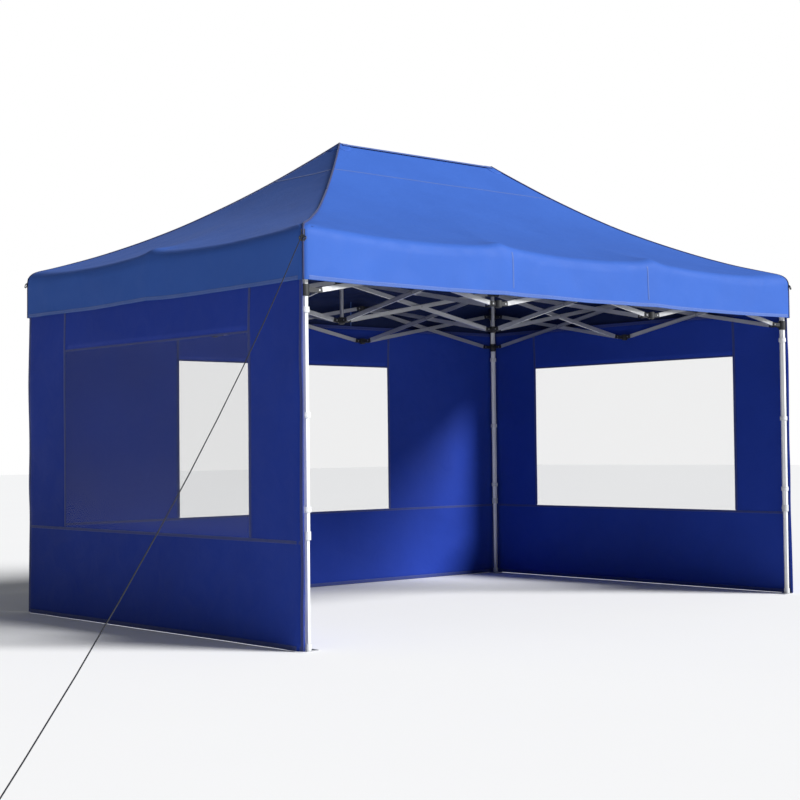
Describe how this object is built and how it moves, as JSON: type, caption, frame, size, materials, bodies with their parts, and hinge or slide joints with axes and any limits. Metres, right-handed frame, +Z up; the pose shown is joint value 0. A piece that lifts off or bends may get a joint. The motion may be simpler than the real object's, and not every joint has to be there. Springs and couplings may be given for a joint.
{
  "type": "pop up gazebo",
  "caption": "Folding canopy gazebo: scissor frame on telescopic legs, hipped fabric roof with valance, window walls on the short sides and back, and a guy rope.",
  "frame": {"origin": "on the ground at the centre of the rectangle of the four legs", "axes": "+X along the long side, +Y towards the closed back wall, so the open long side is at -Y, +Z up"},
  "size_m": [7.6774, 5.6777, 3.15],
  "materials": {
    "scissor_bar": "satin aluminium flat tube",
    "leg_tube": "pale satin anodised hexagonal tube",
    "inner_leg": "satin aluminium hexagonal tube with a steel foot",
    "mast": "dull grey round tube in a plastic hub",
    "black_plastic": "black moulded nylon",
    "roof_fabric": "blue coated polyester, faint weave, soft sheen",
    "wall_fabric": "darker blue coated polyester",
    "window_film": "clear flexible film",
    "rope": "dark braided cord",
    "peg_steel": "galvanised steel wire",
    "strap": "pale hook-and-loop webbing"
  },
  "bodies": {
    "peak_hub_left": {"peak_hub_left": "black_plastic", "canopy": "roof_fabric", "left_wall": "wall_fabric", "back_wall": "wall_fabric", "right_wall": "wall_fabric", "guy_rope": "rope", "guy_peg": "peg_steel"},
    "front_left_bar_a": {"front_left_bar_a": "scissor_bar"},
    "front_left_bar_b": {"front_left_bar_b": "scissor_bar"},
    "front_middle_bar_a": {"front_middle_bar_a": "scissor_bar"},
    "front_middle_bar_b": {"front_middle_bar_b": "scissor_bar"},
    "front_right_bar_a": {"front_right_bar_a": "scissor_bar"},
    "front_right_bar_b": {"front_right_bar_b": "scissor_bar"},
    "middle_left_bar_a": {"middle_left_bar_a": "scissor_bar"},
    "middle_left_bar_b": {"middle_left_bar_b": "scissor_bar"},
    "middle_centre_bar_a": {"middle_centre_bar_a": "scissor_bar"},
    "middle_centre_bar_b": {"middle_centre_bar_b": "scissor_bar"},
    "middle_right_bar_a": {"middle_right_bar_a": "scissor_bar"},
    "middle_right_bar_b": {"middle_right_bar_b": "scissor_bar"},
    "back_left_bar_a": {"back_left_bar_a": "scissor_bar"},
    "back_left_bar_b": {"back_left_bar_b": "scissor_bar"},
    "back_middle_bar_a": {"back_middle_bar_a": "scissor_bar"},
    "back_middle_bar_b": {"back_middle_bar_b": "scissor_bar"},
    "back_right_bar_a": {"back_right_bar_a": "scissor_bar"},
    "back_right_bar_b": {"back_right_bar_b": "scissor_bar"},
    "left_front_bar_a": {"left_front_bar_a": "scissor_bar"},
    "left_front_bar_b": {"left_front_bar_b": "scissor_bar"},
    "left_back_bar_a": {"left_back_bar_a": "scissor_bar"},
    "left_back_bar_b": {"left_back_bar_b": "scissor_bar"},
    "right_front_bar_a": {"right_front_bar_a": "scissor_bar"},
    "right_front_bar_b": {"right_front_bar_b": "scissor_bar"},
    "right_back_bar_a": {"right_back_bar_a": "scissor_bar"},
    "right_back_bar_b": {"right_back_bar_b": "scissor_bar"},
    "leg_front_left": {"leg_front_left": "leg_tube"},
    "leg_front_right": {"leg_front_right": "leg_tube"},
    "leg_back_left": {"leg_back_left": "leg_tube"},
    "leg_back_right": {"leg_back_right": "leg_tube"},
    "lower_leg_front_left": {"lower_leg_front_left": "inner_leg"},
    "lower_leg_front_right": {"lower_leg_front_right": "inner_leg"},
    "lower_leg_back_left": {"lower_leg_back_left": "inner_leg"},
    "lower_leg_back_right": {"lower_leg_back_right": "inner_leg"},
    "slider_front_left": {"slider_front_left": "black_plastic"},
    "slider_front_right": {"slider_front_right": "black_plastic"},
    "slider_back_left": {"slider_back_left": "black_plastic"},
    "slider_back_right": {"slider_back_right": "black_plastic"},
    "upper_hub_front_1": {"upper_hub_front_1": "black_plastic"},
    "upper_hub_front_2": {"upper_hub_front_2": "black_plastic"},
    "upper_hub_back_1": {"upper_hub_back_1": "black_plastic"},
    "upper_hub_back_2": {"upper_hub_back_2": "black_plastic"},
    "upper_hub_left": {"upper_hub_left": "black_plastic"},
    "upper_hub_right": {"upper_hub_right": "black_plastic"},
    "lower_hub_front_1": {"lower_hub_front_1": "black_plastic"},
    "lower_hub_front_2": {"lower_hub_front_2": "black_plastic"},
    "lower_hub_back_1": {"lower_hub_back_1": "black_plastic"},
    "lower_hub_back_2": {"lower_hub_back_2": "black_plastic"},
    "lower_hub_left": {"lower_hub_left": "black_plastic"},
    "lower_hub_right": {"lower_hub_right": "black_plastic"},
    "peak_hub_right": {"peak_hub_right": "black_plastic"},
    "mast_left": {"mast_left": "mast"},
    "mast_right": {"mast_right": "mast"}
  },
  "joints": [
    {"name": "frame_fold", "type": "hinge", "parent": "peak_hub_left", "child": "middle_centre_bar_a", "pos_m": [-0.675, 0.008, 2.21], "axis": [0, 1, 0], "range_deg": [0, 75]},
    {"name": "middle_centre_crossing", "type": "hinge", "parent": "middle_centre_bar_a", "child": "middle_centre_bar_b", "pos_m": [0, 0.008, 2.08], "axis": [0, 1, 0], "range_deg": [-150, 0]},
    {"name": "peak_hub_right_hinge", "type": "hinge", "parent": "middle_centre_bar_b", "child": "peak_hub_right", "pos_m": [0.675, -0.008, 2.21], "axis": [0, 1, 0], "range_deg": [0, 75]},
    {"name": "mast_right_hinge", "type": "hinge", "parent": "middle_centre_bar_a", "child": "mast_right", "pos_m": [0.675, 0.008, 1.95], "axis": [0, 1, 0], "range_deg": [-75, 0]},
    {"name": "mast_left_hinge", "type": "hinge", "parent": "middle_centre_bar_b", "child": "mast_left", "pos_m": [-0.675, -0.008, 1.95], "axis": [0, 1, 0], "range_deg": [0, 75]},
    {"name": "middle_left_bar_b_hinge", "type": "hinge", "parent": "peak_hub_left", "child": "middle_left_bar_b", "pos_m": [-0.765, -0.008, 2.21], "axis": [0, -1, 0], "range_deg": [0, 75]},
    {"name": "middle_left_crossing", "type": "hinge", "parent": "middle_left_bar_b", "child": "middle_left_bar_a", "pos_m": [-1.44, -0.008, 2.08], "axis": [0, -1, 0], "range_deg": [-150, 0]},
    {"name": "upper_hub_left_hinge", "type": "hinge", "parent": "middle_left_bar_a", "child": "upper_hub_left", "pos_m": [-2.115, 0.008, 2.21], "axis": [0, -1, 0], "range_deg": [0, 75]},
    {"name": "lower_hub_left_hinge", "type": "hinge", "parent": "middle_left_bar_b", "child": "lower_hub_left", "pos_m": [-2.115, -0.008, 1.95], "axis": [0, -1, 0], "range_deg": [-75, 0]},
    {"name": "middle_right_bar_b_hinge", "type": "hinge", "parent": "mast_right", "child": "middle_right_bar_b", "pos_m": [0.765, -0.008, 1.95], "axis": [0, 1, 0], "range_deg": [-75, 0]},
    {"name": "middle_right_crossing", "type": "hinge", "parent": "middle_right_bar_b", "child": "middle_right_bar_a", "pos_m": [1.44, 0.008, 2.08], "axis": [0, 1, 0], "range_deg": [0, 150]},
    {"name": "upper_hub_right_hinge", "type": "hinge", "parent": "middle_right_bar_b", "child": "upper_hub_right", "pos_m": [2.115, -0.008, 2.21], "axis": [0, 1, 0], "range_deg": [0, 75]},
    {"name": "lower_hub_right_hinge", "type": "hinge", "parent": "middle_right_bar_a", "child": "lower_hub_right", "pos_m": [2.115, 0.008, 1.95], "axis": [0, 1, 0], "range_deg": [-75, 0]},
    {"name": "left_front_bar_b_hinge", "type": "hinge", "parent": "upper_hub_left", "child": "left_front_bar_b", "pos_m": [-2.197, -0.045, 2.21], "axis": [1, 0, 0], "range_deg": [0, 75]},
    {"name": "left_front_crossing", "type": "hinge", "parent": "left_front_bar_b", "child": "left_front_bar_a", "pos_m": [-2.197, -0.72, 2.08], "axis": [1, 0, 0], "range_deg": [-150, 0]},
    {"name": "leg_front_left_hinge", "type": "hinge", "parent": "left_front_bar_a", "child": "leg_front_left", "pos_m": [-2.213, -1.395, 2.21], "axis": [1, 0, 0], "range_deg": [0, 75]},
    {"name": "slider_front_left_hinge", "type": "hinge", "parent": "left_front_bar_b", "child": "slider_front_left", "pos_m": [-2.197, -1.395, 1.95], "axis": [1, 0, 0], "range_deg": [-75, 0]},
    {"name": "left_back_bar_a_hinge", "type": "hinge", "parent": "upper_hub_left", "child": "left_back_bar_a", "pos_m": [-2.213, 0.045, 2.21], "axis": [-1, 0, 0], "range_deg": [0, 75]},
    {"name": "left_back_crossing", "type": "hinge", "parent": "left_back_bar_a", "child": "left_back_bar_b", "pos_m": [-2.213, 0.72, 2.08], "axis": [-1, 0, 0], "range_deg": [-150, 0]},
    {"name": "leg_back_left_hinge", "type": "hinge", "parent": "left_back_bar_b", "child": "leg_back_left", "pos_m": [-2.197, 1.395, 2.21], "axis": [-1, 0, 0], "range_deg": [0, 75]},
    {"name": "slider_back_left_hinge", "type": "hinge", "parent": "left_back_bar_a", "child": "slider_back_left", "pos_m": [-2.213, 1.395, 1.95], "axis": [-1, 0, 0], "range_deg": [-75, 0]},
    {"name": "right_front_bar_b_hinge", "type": "hinge", "parent": "upper_hub_right", "child": "right_front_bar_b", "pos_m": [2.213, -0.045, 2.21], "axis": [1, 0, 0], "range_deg": [0, 75]},
    {"name": "right_front_crossing", "type": "hinge", "parent": "right_front_bar_b", "child": "right_front_bar_a", "pos_m": [2.213, -0.72, 2.08], "axis": [1, 0, 0], "range_deg": [-150, 0]},
    {"name": "leg_front_right_hinge", "type": "hinge", "parent": "right_front_bar_a", "child": "leg_front_right", "pos_m": [2.197, -1.395, 2.21], "axis": [1, 0, 0], "range_deg": [0, 75]},
    {"name": "slider_front_right_hinge", "type": "hinge", "parent": "right_front_bar_b", "child": "slider_front_right", "pos_m": [2.213, -1.395, 1.95], "axis": [1, 0, 0], "range_deg": [-75, 0]},
    {"name": "right_back_bar_a_hinge", "type": "hinge", "parent": "upper_hub_right", "child": "right_back_bar_a", "pos_m": [2.197, 0.045, 2.21], "axis": [-1, 0, 0], "range_deg": [0, 75]},
    {"name": "right_back_crossing", "type": "hinge", "parent": "right_back_bar_a", "child": "right_back_bar_b", "pos_m": [2.197, 0.72, 2.08], "axis": [-1, 0, 0], "range_deg": [-150, 0]},
    {"name": "leg_back_right_hinge", "type": "hinge", "parent": "right_back_bar_b", "child": "leg_back_right", "pos_m": [2.213, 1.395, 2.21], "axis": [-1, 0, 0], "range_deg": [0, 75]},
    {"name": "slider_back_right_hinge", "type": "hinge", "parent": "right_back_bar_a", "child": "slider_back_right", "pos_m": [2.197, 1.395, 1.95], "axis": [-1, 0, 0], "range_deg": [-75, 0]},
    {"name": "front_left_bar_a_hinge", "type": "hinge", "parent": "leg_front_left", "child": "front_left_bar_a", "pos_m": [-2.115, -1.477, 2.21], "axis": [0, 1, 0], "range_deg": [0, 75]},
    {"name": "front_left_crossing", "type": "hinge", "parent": "front_left_bar_a", "child": "front_left_bar_b", "pos_m": [-1.44, -1.477, 2.08], "axis": [0, 1, 0], "range_deg": [-150, 0]},
    {"name": "upper_hub_front_1_hinge", "type": "hinge", "parent": "front_left_bar_b", "child": "upper_hub_front_1", "pos_m": [-0.765, -1.493, 2.21], "axis": [0, 1, 0], "range_deg": [0, 75]},
    {"name": "lower_hub_front_1_hinge", "type": "hinge", "parent": "front_left_bar_a", "child": "lower_hub_front_1", "pos_m": [-0.765, -1.477, 1.95], "axis": [0, 1, 0], "range_deg": [-75, 0]},
    {"name": "front_right_bar_b_hinge", "type": "hinge", "parent": "leg_front_right", "child": "front_right_bar_b", "pos_m": [2.115, -1.493, 2.21], "axis": [0, -1, 0], "range_deg": [0, 75]},
    {"name": "front_right_crossing", "type": "hinge", "parent": "front_right_bar_b", "child": "front_right_bar_a", "pos_m": [1.44, -1.493, 2.08], "axis": [0, -1, 0], "range_deg": [-150, 0]},
    {"name": "upper_hub_front_2_hinge", "type": "hinge", "parent": "front_right_bar_a", "child": "upper_hub_front_2", "pos_m": [0.765, -1.477, 2.21], "axis": [0, -1, 0], "range_deg": [0, 75]},
    {"name": "lower_hub_front_2_hinge", "type": "hinge", "parent": "front_right_bar_b", "child": "lower_hub_front_2", "pos_m": [0.765, -1.493, 1.95], "axis": [0, -1, 0], "range_deg": [-75, 0]},
    {"name": "back_left_bar_a_hinge", "type": "hinge", "parent": "leg_back_left", "child": "back_left_bar_a", "pos_m": [-2.115, 1.493, 2.21], "axis": [0, 1, 0], "range_deg": [0, 75]},
    {"name": "back_left_crossing", "type": "hinge", "parent": "back_left_bar_a", "child": "back_left_bar_b", "pos_m": [-1.44, 1.493, 2.08], "axis": [0, 1, 0], "range_deg": [-150, 0]},
    {"name": "upper_hub_back_1_hinge", "type": "hinge", "parent": "back_left_bar_b", "child": "upper_hub_back_1", "pos_m": [-0.765, 1.477, 2.21], "axis": [0, 1, 0], "range_deg": [0, 75]},
    {"name": "lower_hub_back_1_hinge", "type": "hinge", "parent": "back_left_bar_a", "child": "lower_hub_back_1", "pos_m": [-0.765, 1.493, 1.95], "axis": [0, 1, 0], "range_deg": [-75, 0]},
    {"name": "back_right_bar_b_hinge", "type": "hinge", "parent": "leg_back_right", "child": "back_right_bar_b", "pos_m": [2.115, 1.477, 2.21], "axis": [0, -1, 0], "range_deg": [0, 75]},
    {"name": "back_right_crossing", "type": "hinge", "parent": "back_right_bar_b", "child": "back_right_bar_a", "pos_m": [1.44, 1.477, 2.08], "axis": [0, -1, 0], "range_deg": [-150, 0]},
    {"name": "upper_hub_back_2_hinge", "type": "hinge", "parent": "back_right_bar_a", "child": "upper_hub_back_2", "pos_m": [0.765, 1.493, 2.21], "axis": [0, -1, 0], "range_deg": [0, 75]},
    {"name": "lower_hub_back_2_hinge", "type": "hinge", "parent": "back_right_bar_b", "child": "lower_hub_back_2", "pos_m": [0.765, 1.477, 1.95], "axis": [0, -1, 0], "range_deg": [-75, 0]},
    {"name": "front_middle_bar_a_hinge", "type": "hinge", "parent": "upper_hub_front_1", "child": "front_middle_bar_a", "pos_m": [-0.675, -1.477, 2.21], "axis": [0, 1, 0], "range_deg": [0, 75]},
    {"name": "front_middle_bar_b_hinge", "type": "hinge", "parent": "upper_hub_front_2", "child": "front_middle_bar_b", "pos_m": [0.675, -1.493, 2.21], "axis": [0, -1, 0], "range_deg": [0, 75]},
    {"name": "back_middle_bar_a_hinge", "type": "hinge", "parent": "upper_hub_back_1", "child": "back_middle_bar_a", "pos_m": [-0.675, 1.493, 2.21], "axis": [0, 1, 0], "range_deg": [0, 75]},
    {"name": "back_middle_bar_b_hinge", "type": "hinge", "parent": "upper_hub_back_2", "child": "back_middle_bar_b", "pos_m": [0.675, 1.477, 2.21], "axis": [0, -1, 0], "range_deg": [0, 75]},
    {"name": "height_front_left", "type": "slide", "parent": "leg_front_left", "child": "lower_leg_front_left", "axis": [0, 0, 1], "range_m": [0, 0.45]},
    {"name": "height_front_right", "type": "slide", "parent": "leg_front_right", "child": "lower_leg_front_right", "axis": [0, 0, 1], "range_m": [0, 0.45]},
    {"name": "height_back_left", "type": "slide", "parent": "leg_back_left", "child": "lower_leg_back_left", "axis": [0, 0, 1], "range_m": [0, 0.45]},
    {"name": "height_back_right", "type": "slide", "parent": "leg_back_right", "child": "lower_leg_back_right", "axis": [0, 0, 1], "range_m": [0, 0.45]}
  ],
  "couplings": [
    {"joint": "middle_centre_crossing", "follows": "frame_fold", "ratio": -2},
    {"joint": "peak_hub_right_hinge", "follows": "frame_fold", "ratio": 1},
    {"joint": "mast_right_hinge", "follows": "frame_fold", "ratio": -1},
    {"joint": "mast_left_hinge", "follows": "frame_fold", "ratio": 1},
    {"joint": "middle_left_bar_b_hinge", "follows": "frame_fold", "ratio": 1},
    {"joint": "middle_left_crossing", "follows": "frame_fold", "ratio": -2},
    {"joint": "upper_hub_left_hinge", "follows": "frame_fold", "ratio": 1},
    {"joint": "lower_hub_left_hinge", "follows": "frame_fold", "ratio": -1},
    {"joint": "middle_right_bar_b_hinge", "follows": "frame_fold", "ratio": -1},
    {"joint": "middle_right_crossing", "follows": "frame_fold", "ratio": 2},
    {"joint": "upper_hub_right_hinge", "follows": "frame_fold", "ratio": 1},
    {"joint": "lower_hub_right_hinge", "follows": "frame_fold", "ratio": -1},
    {"joint": "left_front_bar_b_hinge", "follows": "frame_fold", "ratio": 1},
    {"joint": "left_front_crossing", "follows": "frame_fold", "ratio": -2},
    {"joint": "leg_front_left_hinge", "follows": "frame_fold", "ratio": 1},
    {"joint": "slider_front_left_hinge", "follows": "frame_fold", "ratio": -1},
    {"joint": "left_back_bar_a_hinge", "follows": "frame_fold", "ratio": 1},
    {"joint": "left_back_crossing", "follows": "frame_fold", "ratio": -2},
    {"joint": "leg_back_left_hinge", "follows": "frame_fold", "ratio": 1},
    {"joint": "slider_back_left_hinge", "follows": "frame_fold", "ratio": -1},
    {"joint": "right_front_bar_b_hinge", "follows": "frame_fold", "ratio": 1},
    {"joint": "right_front_crossing", "follows": "frame_fold", "ratio": -2},
    {"joint": "leg_front_right_hinge", "follows": "frame_fold", "ratio": 1},
    {"joint": "slider_front_right_hinge", "follows": "frame_fold", "ratio": -1},
    {"joint": "right_back_bar_a_hinge", "follows": "frame_fold", "ratio": 1},
    {"joint": "right_back_crossing", "follows": "frame_fold", "ratio": -2},
    {"joint": "leg_back_right_hinge", "follows": "frame_fold", "ratio": 1},
    {"joint": "slider_back_right_hinge", "follows": "frame_fold", "ratio": -1},
    {"joint": "front_left_bar_a_hinge", "follows": "frame_fold", "ratio": 1},
    {"joint": "front_left_crossing", "follows": "frame_fold", "ratio": -2},
    {"joint": "upper_hub_front_1_hinge", "follows": "frame_fold", "ratio": 1},
    {"joint": "lower_hub_front_1_hinge", "follows": "frame_fold", "ratio": -1},
    {"joint": "front_right_bar_b_hinge", "follows": "frame_fold", "ratio": 1},
    {"joint": "front_right_crossing", "follows": "frame_fold", "ratio": -2},
    {"joint": "upper_hub_front_2_hinge", "follows": "frame_fold", "ratio": 1},
    {"joint": "lower_hub_front_2_hinge", "follows": "frame_fold", "ratio": -1},
    {"joint": "back_left_bar_a_hinge", "follows": "frame_fold", "ratio": 1},
    {"joint": "back_left_crossing", "follows": "frame_fold", "ratio": -2},
    {"joint": "upper_hub_back_1_hinge", "follows": "frame_fold", "ratio": 1},
    {"joint": "lower_hub_back_1_hinge", "follows": "frame_fold", "ratio": -1},
    {"joint": "back_right_bar_b_hinge", "follows": "frame_fold", "ratio": 1},
    {"joint": "back_right_crossing", "follows": "frame_fold", "ratio": -2},
    {"joint": "upper_hub_back_2_hinge", "follows": "frame_fold", "ratio": 1},
    {"joint": "lower_hub_back_2_hinge", "follows": "frame_fold", "ratio": -1},
    {"joint": "front_middle_bar_a_hinge", "follows": "frame_fold", "ratio": 1},
    {"joint": "front_middle_bar_b_hinge", "follows": "frame_fold", "ratio": 1},
    {"joint": "back_middle_bar_a_hinge", "follows": "frame_fold", "ratio": 1},
    {"joint": "back_middle_bar_b_hinge", "follows": "frame_fold", "ratio": 1}
  ]
}
